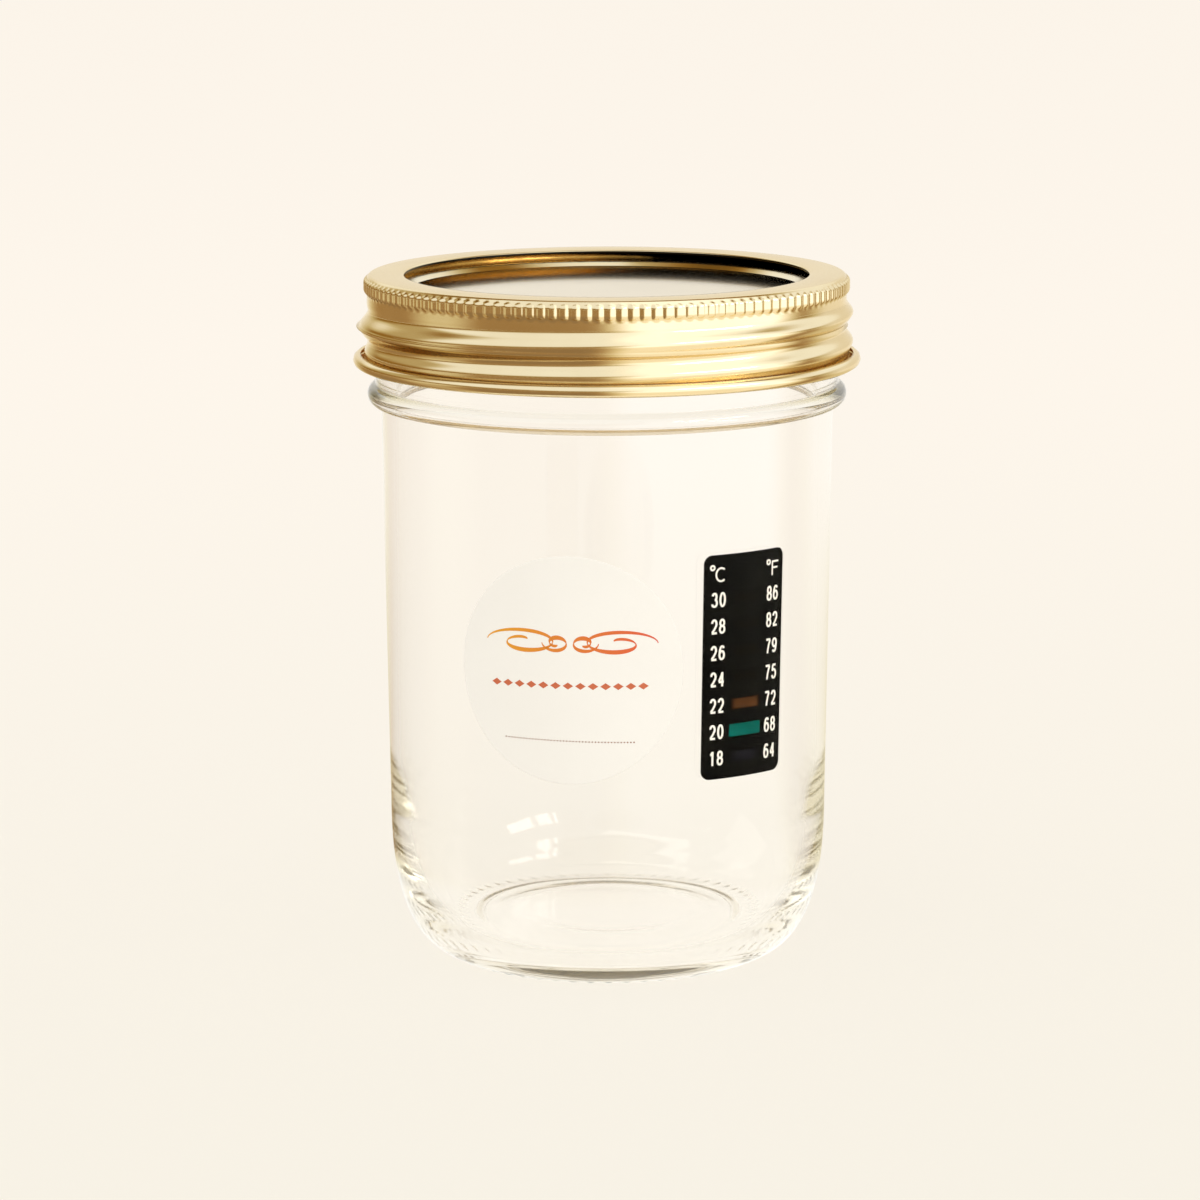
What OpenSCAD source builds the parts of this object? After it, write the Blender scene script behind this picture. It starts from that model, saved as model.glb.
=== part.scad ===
// Wide-mouth pint preserving jar for a sourdough starter, with its two-piece screw closure,
// a round paper label and a liquid-crystal thermometer strip.
// Millimetres, +Z up. The jar stands on z = 0 and its axis is the Z axis. The front is -Y.

/* [Glass body] */
// Height of the glass, from the bench to the sealing land of the rim
jar_h = 123.2; // [100:0.1:170]
// Outside diameter of the wall, just under the transfer bead
body_d = 81.9; // [70:0.1:100]
// Diameter that the wall loses from the transfer bead down to the heel
body_taper = 2.1; // [0:0.1:6]
// Thickness of the wall
wall_t = 2.8; // [2:0.1:4]
// Thickness of the floor at its middle
floor_t = 3.6; // [2.5:0.1:7]
// Width of the rounded heel, from the wall in to the bearing ring
heel_w = 12.7; // [8:0.1:15]
// Height of the rounded heel
heel_h = 29; // [20:0.5:34]
// Fullness of the heel's curve: 2 is an ellipse, and more is squarer
heel_fullness = 2.5; // [2:0.1:4]
// Width of the flat ring that the jar stands on
bearing_w = 1.5; // [0.8:0.1:3]
// Height of the pushed-up middle of the underside
push_up = 2.2; // [1.4:0.1:5]
// Diameter of the pushed-up panel
push_up_d = 44; // [20:0.5:46]
// Height of the step round the pushed-up panel
panel_step = 0.5; // [0:0.1:0.5]

/* [Glass finish] */
// Diameter of the glass neck between the threads
neck_d = 83.8; // [78:0.1:100]
// How far the glass thread reaches past the inside of the band's grooves
thread_bite = 0.38; // [0.2:0.01:0.6]
// Half the height of the glass thread's foot
thread_half = 1.7; // [1.2:0.1:2]
// Rise of the thread in one turn
pitch = 6.35; // [5.5:0.05:7.5]
// Number of turns of the glass thread
glass_turns = 1.35; // [1:0.05:1.5]
// Angle over which each end of the glass thread runs out
runout = 40; // [20:5:80]
// Wall of the mouth, from the inside to the outside of the rim
rim_w = 3.6; // [3:0.1:5]
// Radius of the edges of the rim
rim_r = 0.7; // [0.3:0.1:1]
// How far the transfer bead stands out from the neck
bead_out = 1.46; // [0.6:0.02:1.6]
// Radius of the transfer bead's section
bead_r = 1.9; // [1.7:0.1:2.5]
// Height of the sealing land above the middle of the transfer bead
bead_drop = 20.3; // [19:0.1:26]
// Height of the sealing land above the upper end of the glass thread
thread_drop = 4.8; // [4:0.1:7]

/* [Closure] */
// Thickness of the lid's sheet
lid_t = 0.25; // [0.15:0.01:0.5]
// Thickness of the sealing ring, pressed
seal_t = 0.65; // [0.4:0.05:1.2]
// Clearance of the lid's edge round the rim of the glass
lid_fit = 0.32; // [0.25:0.01:0.8]
// Depth of the lid's sunk panel under its rim
panel_depth = 2.6; // [1.2:0.1:4]
// Width of the sloping wall round the sunk panel
panel_slope = 3.2; // [2:0.1:6]
// Crown of the sunk panel at its middle
panel_crown = 0.3; // [0:0.05:0.8]
// Thickness of the band's sheet
band_t = 0.28; // [0.2:0.01:0.4]
// Height of the band
band_h = 16.5; // [15.5:0.1:18]
// Diameter of the opening in the band's top
opening_d = 73; // [50:0.5:75]
// Play between the lid's rim and the band's top
top_play = 0.12; // [0.05:0.01:0.4]
// Clearance of the band's inward grooves round the lid's edge
groove_fit = 0.4; // [0.3:0.01:0.8]
// Depth of the band's rolled thread, from groove to crest
roll_depth = 1.69; // [1.5:0.01:2.2]
// How far the glass thread sits under the crest of the band's thread
thread_seat = 1.3; // [0.6:0.05:1.5]
// Direction in which the top crest lies at its height, from the front towards the right
thread_turn = 90; // [0:5:360]
// Number of ribs of the knurl
knurl_ribs = 137; // [60:1:160]
// Height of the knurl's ribs over the wall
knurl_depth = 0.6; // [0.3:0.05:0.8]
// Height of the knurled stretch
knurl_h = 3.1; // [2:0.1:3.4]
// Height of the band's top over the knurl
knurl_drop = 0.35; // [0.3:0.05:1]
// Height of the sloped ends of the ribs
rib_end = 0.5; // [0.2:0.05:1]
// Radius of the outward curl at the band's foot
curl_r = 1.1; // [0.9:0.05:1.3]
// Distance from the outside of the band's foot to the outside of the curl
curl_reach = 2.06; // [2.04:0.02:3]
// Clearance of the band's foot round the glass thread
foot_fit = 0.4; // [0.2:0.01:0.6]

/* [Label and thermometer] */
// Diameter of the round label
label_d = 40.7; // [20:0.1:42]
// Height of the middle of the label
label_z = 59.3; // [52:0.1:72]
// Direction of the label from the front, towards the right
label_turn = -9.8; // [-40:0.1:-8]
// Thickness of the label's paper
label_t = 0.12; // [0.05:0.01:0.3]
// Width of the thermometer strip
strip_w = 17.6; // [12:0.1:20]
// Height of the thermometer strip
strip_h = 40.2; // [38:0.1:44]
// Radius of the strip's corners
strip_corner = 1.6; // [0.5:0.1:4]
// Height of the middle of the strip
strip_z = 58.9; // [52:0.1:72]
// Direction of the strip from the front, towards the right
strip_turn = 36.6; // [36:0.1:90]
// Lean of the strip from upright
strip_lean = 0.5; // [0:0.1:4]
// Number of liquid-crystal windows
window_count = 7; // [3:1:7]
// Width of a window
window_w = 6.8; // [3:0.1:9]
// Height of a window
window_h = 2.2; // [1:0.1:4]
// Distance from one window to the next
window_pitch = 4.75; // [4.2:0.05:5]
// Height of the windows' middle above the strip's middle
window_shift = -2.1; // [-3:0.1:2]
// Thickness of the clear film
film_t = 0.12; // [0.05:0.01:0.3]
// Thickness of the crystal layer
crystal_t = 0.06; // [0.04:0.01:0.2]
// Thickness of the black backing
backing_t = 0.08; // [0.05:0.01:0.3]
// Thickness of each layer of adhesive
glue_t = 0.05; // [0.03:0.01:0.2]

/* [Hidden] */
$fn = 120;
// Gap left between stuck layers
hair = 0.02;
// Width by which adhesive stays inside the edge of what it holds
glue_in = 0.15;
// Radius of the corners of a window
window_corner = 0.2;
// Faces round one turn of a thread, up the band's threaded wall and across the glass thread
turn_steps = 96;
skirt_rows = 21;
ridge_rows = 6;
// Overlap of the band's threaded wall with the knurled wall over it and the curl under it, and
// how much thicker their seams are inside and outside
lap = 0.15;
seam_in = 0.05;
seam_out = 0.13;
// Height of the seam under the knurl and of the one over the curl
seam_h = 0.75;
// Height of the plain stretch between the knurl and the band's thread
plain_h = 1.1;
// How far the plain stretch stands out from the band's grooves
plain_out = 0.25;
// Height of the foot of the band's thread over the middle of the curl
foot_h = 1.15;
// Depth of the band's upper crest under the top of its thread, where it lies in the thread's direction
crest_drop = 1.7;
// Stretch over which the band's thread fades out at its top and at its foot
fade_h = 2.8;
// How much smaller in radius the rim is than the neck
rim_step = 0.1;
// Depth of the glass thread's root, and of the foot of its flanks, under the neck's surface
root_in = 0.9;
root_dip = 0.3;

// Heights of the closure
bead_z = jar_h - bead_drop;
seal_top = jar_h + seal_t;
lid_top = seal_top + lid_t;
band_top = lid_top + top_play + band_t;
knurl_top = band_top - knurl_drop;
knurl_foot = knurl_top - knurl_h;
skirt_top = knurl_foot - plain_h;
curl_z = band_top - band_h + curl_r;
skirt_foot = curl_z + foot_h;
thread_top = jar_h - thread_drop;

// Radii of the glass
body_r = body_d / 2;
heel_r = body_r - body_taper / 2;
bearing_r = heel_r - heel_w;
neck_r = neck_d / 2;
rim_out_r = neck_r - rim_step;
mouth_r = rim_out_r - rim_w;
inner_r = body_r - wall_t;

// Heights of the shoulder between the wall and the neck, under and inside the transfer bead
shoulder_top = bead_z + 0.5;
shoulder_foot = shoulder_top - max(1, abs(neck_r - body_r));
shoulder_in = bead_z - max(4, abs(mouth_r - inner_r));

// Radii of the closure
lid_r = rim_out_r + lid_fit + lid_t;
groove_r = lid_r + groove_fit;
thread_r = groove_r + thread_bite;
groove_out_r = groove_r + band_t;
plain_r = groove_out_r + plain_out;
foot_r = thread_r + foot_fit + band_t;
knurl_r = plain_r + knurl_depth;
curl_out_r = foot_r + curl_reach;

// Distances of the stuck layers from the glass
backing_lift = hair + glue_t + hair;
crystal_lift = backing_lift + backing_t + hair;
film_lift = crystal_lift + crystal_t + hair;

// Radius of the outside of the glass wall at a height
function wall_r(z) = heel_r + (body_r - heel_r) * (z - heel_h) / (shoulder_foot - heel_h);

// Points on an arc about c, from angle a to angle b
function arc(c, r, a, b, n) =
    [for (i = [0:n]) c + r * [cos(a + (b - a) * i / n), sin(a + (b - a) * i / n)]];

// Points up a heel of width w and height h, from its foot at height z to a wall of radius r
function heel(r, w, h, z, fullness, n) =
    [for (i = [0:n]) [r - w + w * pow(sin(90 * i / n), 2 / fullness),
                      z + h - h * pow(cos(90 * i / n), 2 / fullness)]];

function reversed(p) = [for (i = [len(p) - 1:-1:0]) p[i]];

// Outline of a bent sheet of thickness t along a path
function along(p, i) = p[min(i + 1, len(p) - 1)] - p[max(i - 1, 0)];
function beside(p, i, d) = p[i] + d * [-along(p, i)[1], along(p, i)[0]] / norm(along(p, i));
function sheet(p, t) = concat([for (i = [0:len(p) - 1]) beside(p, i, t / 2)],
                              reversed([for (i = [0:len(p) - 1]) beside(p, i, -t / 2)]));

// A number eased from 0 to 1
function ease(x) = x <= 0 ? 0 : x >= 1 ? 1 : x * x * (3 - 2 * x);

// Flat outlines, and the same laid round a cylinder of radius r and seen from the front
function disc_outline(d, n) = [for (i = [0:n - 1]) d / 2 * [cos(360 * i / n), sin(360 * i / n)]];
function box_outline(w, h, r) = concat(
    arc([w / 2 - r, h / 2 - r], r, 0, 90, 5), arc([r - w / 2, h / 2 - r], r, 90, 180, 5),
    arc([r - w / 2, r - h / 2], r, 180, 270, 5), arc([w / 2 - r, r - h / 2], r, 270, 360, 5));
function moved(points, v) = [for (p = points) p + v];
function leaned(points, a) =
    [for (p = points) [p[0] * cos(a) + p[1] * sin(a), p[1] * cos(a) - p[0] * sin(a)]];
function wrapped(points, r) = [for (p = points) [r * sin(p[0] / r * 180 / PI), p[1]]];

// Triangles between rings of m points, from each ring to the next
function ring_faces(n, m, closed) = [for (i = [0:n - (closed ? 1 : 2)], j = [0:m - 1], k = [0, 1])
    let (a = i * m, b = (i + 1) % n * m, q = (j + 1) % m)
    k == 0 ? [a + j, b + q, b + j] : [a + j, a + q, b + q]];

// Height of the crest of the band's thread at an angle, anticlockwise from +X
function crest_z(a) = skirt_top - crest_drop + pitch * (a + 90 - thread_turn) / 360;

// Outside radius of the band's threaded wall at an angle and a height
function skirt_r(a, z) =
    let (base = z > (skirt_top + skirt_foot) / 2 ? plain_r : foot_r,
         strength = ease((skirt_top - z) / fade_h) * ease((z - skirt_foot) / fade_h),
         roll = groove_out_r + roll_depth / 2 * (1 + cos(360 * (z - crest_z(a)) / pitch)))
    base + strength * (roll - base);

module jar_profile() {
    under_r = push_up_d / 2;
    under_edge = 0.65 * push_up;
    step_foot = [under_r + 0.8, under_edge - panel_step];
    bearing_edge = 0.9;
    rim_h = 2.5;
    floor_edge = step_foot[1] + floor_t;
    inner_heel_w = heel_w - 1.7;
    inner_fullness = 2.2;
    dome = [for (i = [0:4]) [under_r * i / 4, push_up + (under_edge - push_up) * pow(i / 4, 2)]];
    polygon(concat(
        // underside, from the middle to the bearing ring
        dome, [step_foot],
        arc([bearing_r - bearing_w, bearing_edge], bearing_edge, 180, 270, 4),
        // outside, from the heel to the rim
        heel(heel_r, heel_w, heel_h, 0, heel_fullness, 14),
        [[body_r, shoulder_foot], [neck_r, shoulder_top], [neck_r, jar_h - rim_h]],
        arc([rim_out_r - rim_r, jar_h - rim_r], rim_r, 0, 90, 5),
        // inside, from the rim to the floor
        arc([mouth_r + rim_r, jar_h - rim_r], rim_r, 90, 180, 5),
        [[mouth_r, bead_z], [inner_r, shoulder_in]],
        reversed(heel(heel_r - wall_t, inner_heel_w, heel_h - floor_edge, floor_edge, inner_fullness, 12)),
        reversed(moved(concat(dome, [step_foot]), [0, floor_t]))));
}

// Ridge that winds round the neck and runs out into it at both ends
module glass_thread() {
    high = thread_turn - 90 + 360 * (thread_top - skirt_top + crest_drop + thread_seat) / pitch;
    span = 360 * glass_turns;
    rings = ceil(glass_turns * turn_steps);
    m = ridge_rows + 3;
    points = [for (i = [0:rings])
        let (a = high - span + span * i / rings,
             z = crest_z(a) - thread_seat,
             swell = min(ease(span * i / rings / runout), ease(span * (1 - i / rings) / runout)))
        for (j = [-1:ridge_rows + 1])
            let (u = min(max(2 * j / ridge_rows - 1, -1), 1),
                 root = j < 0 || j > ridge_rows,
                 r = root ? neck_r - root_in
                          : neck_r - root_dip + (thread_r - neck_r + root_dip) * swell * cos(90 * u))
            [r * cos(a), r * sin(a), z + thread_half * u]];
    polyhedron(points, concat([[for (j = [m - 1:-1:0]) j]],
                              ring_faces(rings + 1, m, false),
                              [[for (j = [0:m - 1]) rings * m + j]]));
}

module jar() {
    color("aliceblue", 0.4)
        union() {
            rotate_extrude()
                jar_profile();
            rotate_extrude()
                translate([neck_r + bead_out - bead_r, bead_z])
                    circle(bead_r);
            glass_thread();
        }
}

// Ring of a rectangular section
module ring(r_in, r_out, z_low, z_high) {
    rotate_extrude()
        polygon([[r_in, z_low], [r_out, z_low], [r_out, z_high], [r_in, z_high]]);
}

// Wall rolled into a helical thread
module threaded_wall() {
    rows = [for (j = [0:skirt_rows])
        skirt_foot - lap + (knurl_foot - skirt_foot + 2 * lap) * j / skirt_rows];
    points = [for (i = [0:turn_steps - 1])
        let (a = 360 * i / turn_steps)
        for (side = [0, 1], j = [0:skirt_rows])
            let (z = side == 0 ? rows[j] : rows[skirt_rows - j],
                 r = skirt_r(a, z) - side * band_t)
            [r * cos(a), r * sin(a), z]];
    polyhedron(points, ring_faces(turn_steps, 2 * (skirt_rows + 1), true));
}

// Upright rounded ribs round the band's shoulder, which slope in at both ends
module knurl() {
    valley_r = plain_r + 0.08;
    swell = [0, 0.62, 0.95, 0.95, 0.62];
    n = len(swell);
    intersection() {
        translate([0, 0, knurl_foot])
            linear_extrude(knurl_h)
                difference() {
                    polygon([for (i = [0:knurl_ribs * n - 1])
                        let (a = 360 * i / (knurl_ribs * n),
                             r = valley_r + (knurl_r - valley_r) * swell[i % n])
                        [r * cos(a), r * sin(a)]]);
                    circle(plain_r - band_t / 2);
                }
        rotate_extrude()
            polygon([[plain_r - band_t, knurl_foot - lap], [plain_r, knurl_foot - lap],
                     [knurl_r, knurl_foot + rib_end], [knurl_r, knurl_top - rib_end],
                     [plain_r, knurl_top + lap], [plain_r - band_t, knurl_top + lap]]);
    }
}

module screw_band() {
    mid_t = band_t / 2;
    corner = 0.7;
    lip = 0.6;
    tail = 0.4;
    opening_r = opening_d / 2;
    top_path = concat(
        arc([opening_r + mid_t + lip, band_top - mid_t - lip], lip, 180, 90, 4),
        arc([plain_r - mid_t - corner, band_top - mid_t - corner], corner, 90, 0, 5),
        [[plain_r - mid_t, knurl_foot + tail]]);
    curl_path = concat(
        [[foot_r - mid_t, skirt_foot - tail]],
        arc([curl_out_r - curl_r, curl_z], curl_r - mid_t, 180, 465, 14));
    color("darkkhaki")
        union() {
            rotate_extrude()
                polygon(sheet(top_path, band_t));
            knurl();
            ring(plain_r - band_t - seam_in, plain_r - seam_in, knurl_foot, knurl_foot + seam_h);
            threaded_wall();
            ring(foot_r - band_t - seam_in, foot_r + seam_out, skirt_foot - seam_h, skirt_foot);
            rotate_extrude()
                polygon(sheet(curl_path, band_t));
        }
}

module lid_disc() {
    mid_z = lid_top - lid_t / 2;
    edge_r = lid_r - lid_t / 2;
    edge_h = 0.7;
    bend = 0.5;
    land_in = 0.3;
    land_r = mouth_r + rim_r - land_in;
    panel_r = land_r - panel_slope;
    panel_z = mid_z - panel_depth;
    tilt = atan(panel_depth / panel_slope);
    path = concat(
        [[edge_r, seal_top - edge_h]],
        arc([edge_r - bend, mid_z - bend], bend, 0, 90, 4),
        arc([land_r, mid_z - bend], bend, 90, 90 + tilt, 3),
        arc([panel_r, panel_z + bend], bend, 270 + tilt, 270, 3),
        [[panel_r * 0.5, panel_z + panel_crown * 0.4],
         [panel_r * 0.4, panel_z + panel_crown * 0.9],
         [1, panel_z + panel_crown], [0, panel_z + panel_crown]]);
    color("tan")
        rotate_extrude()
            polygon(sheet(path, lid_t));
}

module sealing_ring() {
    inset = 0.1;
    spread = 0.3;
    color("gainsboro")
        ring(mouth_r + rim_r + inset, rim_out_r - rim_r + spread, jar_h, seal_top);
}

// Layer on the glass wall with the given outline, at a distance from the glass
module on_wall(outline, reach, turn, z, lift, t) {
    intersection() {
        rotate_extrude()
            polygon([for (p = [[lift, -reach], [lift + t, -reach], [lift + t, reach], [lift, reach]])
                [wall_r(z + p[1]) + p[0], z + p[1]]]);
        rotate([0, 0, turn])
            translate([0, 0, z])
                rotate([90, 0, 0])
                    linear_extrude(body_d)
                        polygon(wrapped(outline, wall_r(z)));
    }
}

module label_layer(d, lift, t) {
    on_wall(disc_outline(d, 72), d / 2 + 1, label_turn, label_z, lift, t);
}

module strip_layer(outline, lift, t) {
    on_wall(leaned(outline, strip_lean), strip_h / 2 + 2, strip_turn, strip_z, lift, t);
}

module label_face() {
    color("ivory")
        label_layer(label_d, backing_lift, label_t);
}

module label_adhesive() {
    color("whitesmoke", 0.6)
        label_layer(label_d - 2 * glue_in, hair, glue_t);
}

module strip_adhesive() {
    color("whitesmoke", 0.6)
        strip_layer(box_outline(strip_w - 2 * glue_in, strip_h - 2 * glue_in, strip_corner),
                    hair, glue_t);
}

module black_backing() {
    color("black")
        strip_layer(box_outline(strip_w, strip_h, strip_corner), backing_lift, backing_t);
}

module crystal_windows() {
    color("teal")
        for (i = [0:window_count - 1]) {
            rise = window_shift + window_pitch * (i - (window_count - 1) / 2);
            strip_layer(moved(box_outline(window_w, window_h, window_corner), [0, rise]),
                        crystal_lift, crystal_t);
        }
}

module thermometer_film() {
    color("white", 0.3)
        strip_layer(box_outline(strip_w, strip_h, strip_corner), film_lift, film_t);
}

jar();
screw_band();
lid_disc();
sealing_ring();
label_face();
label_adhesive();
thermometer_film();
crystal_windows();
black_backing();
strip_adhesive();
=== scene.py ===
import math

import bmesh
import bpy
from mathutils import Matrix, Vector


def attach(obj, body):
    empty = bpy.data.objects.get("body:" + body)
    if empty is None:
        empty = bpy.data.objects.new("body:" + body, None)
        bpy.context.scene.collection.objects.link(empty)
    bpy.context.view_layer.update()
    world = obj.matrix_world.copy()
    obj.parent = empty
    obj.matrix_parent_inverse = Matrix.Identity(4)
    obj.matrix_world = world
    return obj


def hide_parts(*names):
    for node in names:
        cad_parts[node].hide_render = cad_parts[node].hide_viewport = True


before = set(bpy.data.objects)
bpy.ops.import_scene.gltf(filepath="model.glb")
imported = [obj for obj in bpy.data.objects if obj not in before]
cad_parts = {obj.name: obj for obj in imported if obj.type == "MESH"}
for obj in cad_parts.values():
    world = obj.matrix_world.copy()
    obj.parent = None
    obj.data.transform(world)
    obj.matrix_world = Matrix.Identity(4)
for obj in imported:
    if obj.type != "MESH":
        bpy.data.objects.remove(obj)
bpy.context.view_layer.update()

# The photographer's camera: a long lens a little above the jar, looking slightly down at its
# front. Its lens, place and turn were fitted to the outlines in the photograph.
camera_place, camera_tilt, camera_roll = (-0.001345, -0.8010, 0.2172), 79.19, -0.142
camera = bpy.data.objects.new("camera", bpy.data.cameras.new("camera"))
camera.data.sensor_width = 36
camera.data.lens = 133.71
camera.data.clip_end = 50
camera.matrix_world = (
    Matrix.Translation(camera_place)
    @ Matrix.Rotation(math.radians(camera_tilt), 4, "X")
    @ Matrix.Rotation(math.radians(camera_roll), 4, "Z")
)
bpy.context.scene.collection.objects.link(camera)
bpy.context.scene.camera = camera
bpy.context.scene.view_settings.view_transform = "Standard"


# The table: a pale cream sweep with no visible end. It is lit, so that it takes the jar's shadow,
# and gives the cream backdrop to the camera, to the metal and through the glass.
class Graph:
    """A node tree with short ways to add nodes to it."""

    def __init__(self, tree):
        self.nodes, self.link = tree.nodes, tree.links.new

    def add(self, kind, **values):
        """A node. Each value, a plain one or a socket to link, is named as its input."""
        node = self.nodes.new(kind)
        for socket in node.inputs:
            value = values.pop(socket.name.lower().replace(" ", "_"), None)
            if isinstance(value, bpy.types.NodeSocket):
                self.link(value, socket)
            elif value is not None:
                socket.default_value = (*value, 1) if socket.type == "RGBA" else value
        assert not values, values
        return node

    def put(self, kind, *terms):
        """The result of a maths node: its kind, then numbers or sockets."""
        node = self.nodes.new("ShaderNodeMath")
        node.operation = kind
        for socket, term in zip(node.inputs, terms):
            if isinstance(term, (int, float)):
                socket.default_value = term
            else:
                self.link(term, socket)
        return node.outputs[0]

    def rising(self, value, low, high, top=1.0):
        """A value that rises smoothly from 0 at low to top at high."""
        node = self.add("ShaderNodeMapRange", value=value, from_min=low, from_max=high, to_max=top)
        node.interpolation_type = "SMOOTHSTEP"
        return node.outputs["Result"]

    def between(self, value, low, from_full, to_full, high):
        """1 for a value from from_full to to_full, and smoothly down to 0 at low and at high."""
        falling = self.put("SUBTRACT", 1, self.rising(value, to_full, high))
        return self.put("MULTIPLY", self.rising(value, low, from_full), falling)

    def ramp(self, value, *stops):
        """A colour that follows a value through the given stops of place and colour."""
        node = self.nodes.new("ShaderNodeValToRGB")
        elements = node.color_ramp.elements
        for element, (place, colour) in zip(elements, (stops[0], stops[-1])):
            element.position = place
            element.color = (*colour, 1)
        for place, colour in stops[1:-1]:
            elements.new(place).color = (*colour, 1)
        self.link(value, node.inputs[0])
        return node.outputs[0]

    def mixed(self, share, *shaders):
        """Two shaders mixed, by the share of the second."""
        node = self.nodes.new("ShaderNodeMixShader")
        for output, socket in zip((share, *(shader.outputs[0] for shader in shaders)), node.inputs):
            self.link(output, socket)
        return node

    def summed(self, *shaders):
        """Two shaders added up."""
        node = self.nodes.new("ShaderNodeAddShader")
        for shader, socket in zip(shaders, node.inputs):
            self.link(shader.outputs[0], socket)
        return node

    def surface(self, shader):
        """Makes a shader the material's surface, and gives the output node."""
        return self.add("ShaderNodeOutputMaterial", surface=shader.outputs[0])


def new_material(name):
    """An empty node material and its graph."""
    material = bpy.data.materials.new(name)
    material.use_nodes = True
    material.node_tree.nodes.clear()
    return material, Graph(material.node_tree)


def placed(name, mesh):
    """A new object in the scene, at the origin, with the mesh."""
    piece = bpy.data.objects.new(name, mesh)
    bpy.context.scene.collection.objects.link(piece)
    return piece


def bearing(put, x, y):
    """Direction in degrees from the front, towards the right."""
    return put("DEGREES", put("ARCTAN2", x, put("MULTIPLY", y, -1)))


def behind_the_jar(graph, side):
    """0.72 for a bearing behind the jar, a little to its left, and 0 in front of it."""
    off_middle = graph.put("ABSOLUTE", graph.put("ADD", side, 18))
    return graph.put("MULTIPLY", graph.rising(off_middle, 118, 150), 0.72)


def mirrored_strength(put, by_window):
    """How bright the mirrored room is, and brighter by the window."""
    return put("ADD", 1.28, put("MULTIPLY", by_window, 0.35))


def behind_glass(put, path):
    """1 for what the camera sees, and a little more for what it sees through the glass."""
    return put("ADD", path["Is Camera Ray"], put("MULTIPLY", path["Is Transmission Ray"], 1.03))


table_r, table_sides, table_z = 8, 96, -0.0002
round_edge = [math.tau * i / table_sides for i in range(table_sides)]
table_mesh = bpy.data.meshes.new("table")
table_mesh.from_pydata(
    [(table_r * math.cos(turn), table_r * math.sin(turn), table_z) for turn in round_edge],
    [],
    [list(range(table_sides))],
)
table = placed("table", table_mesh)

warm_to_cream = (
    (0.0, (0.015, 0.008, 0.002)), (0.3, (0.265, 0.145, 0.03)), (0.55, (0.52, 0.455, 0.275)),
    (0.8, (0.735, 0.715, 0.67)), (1.0, (0.90, 0.96, 1.05)),
)
dimmest, foot_shade = 0.28, 0.85
material, graph = new_material("cream sweep")
put, rising = graph.put, graph.rising
path = graph.add("ShaderNodeLightPath").outputs
seen = put("MAXIMUM", path["Is Camera Ray"], path["Is Transmission Ray"])
mirrored = put("MULTIPLY", path["Is Glossy Ray"], put("SUBTRACT", 1, seen))
own_place = graph.add("ShaderNodeTexCoord").outputs["Object"]
x, y, _ = graph.add("ShaderNodeSeparateXYZ", vector=own_place).outputs
near_to_far = graph.ramp(rising(y, -0.4, 0.9), (0, (0.81, 0.772, 0.683)), (1, (0.89, 0.83, 0.75)))
sweep_glow = graph.add("ShaderNodeEmission", color=near_to_far, strength=behind_glass(put, path))

side = bearing(put, x, y)
across = put("SQRT", put("ADD", put("MULTIPLY", x, x), put("MULTIPLY", y, y)))
by_window = graph.between(side, -8, 14, 84, 108)
by_door = put("MULTIPLY", graph.between(side, -112, -88, -80, -58), 0.42)
level = put("MAXIMUM", put("MAXIMUM", by_window, behind_the_jar(graph, side)), by_door)
level = put("MAXIMUM", level, rising(across, 1.8, 5, 0.6))
level = put("ADD", dimmest, put("MULTIPLY", level, 1 - dimmest))
level = put("MULTIPLY", level, put("ADD", 0.72, rising(across, 0.2, 0.6, 0.28)))
at_foot = put("SUBTRACT", foot_shade, rising(across, 0.062, 0.1, foot_shade))
level = put("MAXIMUM", level, at_foot)
mirror_glow = graph.add(
    "ShaderNodeEmission", color=graph.ramp(level, *warm_to_cream),
    strength=put("MULTIPLY", mirrored, mirrored_strength(put, by_window)),
)
cloth = graph.add("ShaderNodeBsdfDiffuse", color=(0.10, 0.094, 0.086))
bounce = graph.add("ShaderNodeBsdfDiffuse", color=(0.80, 0.775, 0.735))
plain = graph.mixed(put("MAXIMUM", seen, mirrored), bounce, cloth)
graph.surface(graph.summed(plain, graph.summed(sweep_glow, mirror_glow)))
table.data.materials.append(material)

# The room: cream behind everything that the camera and the glass see. In the metal it is bright
# at the front right, as beside a large window, behind the jar and overhead, and dim elsewhere.
world = bpy.data.worlds.new("room")
bpy.context.scene.world = world
world.use_nodes = True
world.node_tree.nodes.clear()
graph = Graph(world.node_tree)
put, rising = graph.put, graph.rising
path = graph.add("ShaderNodeLightPath").outputs
way = graph.add("ShaderNodeTexCoord").outputs["Generated"]
x, y, z = graph.add("ShaderNodeSeparateXYZ", vector=way).outputs

side = bearing(put, x, y)
by_window = graph.between(side, -8, 20, 84, 110)
left_end = graph.between(side, -150, -128, -104, -88)
above = put("SUBTRACT", 0.93, put("MULTIPLY", left_end, 0.65))
above = put("MULTIPLY", rising(z, 0.06, 0.36), above)
dark_ceiling = put("MULTIPLY", rising(z, 0.55, 0.8), rising(y, 0.1, 0.32))
level = put("MAXIMUM", put("MAXIMUM", by_window, behind_the_jar(graph, side)), above)
level = put("ADD", dimmest, put("MULTIPLY", level, 1 - dimmest))
level = put("MULTIPLY", level, put("SUBTRACT", 1, put("MULTIPLY", dark_ceiling, 0.7)))
mirror_glow = graph.add("ShaderNodeBackground", color=graph.ramp(level, *warm_to_cream),
                        strength=mirrored_strength(put, by_window))
backdrop = graph.add("ShaderNodeBackground", color=(0.956, 0.896, 0.815),
                     strength=behind_glass(put, path))
towards_window = put("SUBTRACT", put("MULTIPLY", x, 0.13), put("MULTIPLY", y, 0.04))
daylight = graph.add("ShaderNodeBackground", color=(1, 0.992, 0.962),
                     strength=put("ADD", 0.83, towards_window))
lit = graph.mixed(path["Is Diffuse Ray"], backdrop, daylight)
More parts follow.
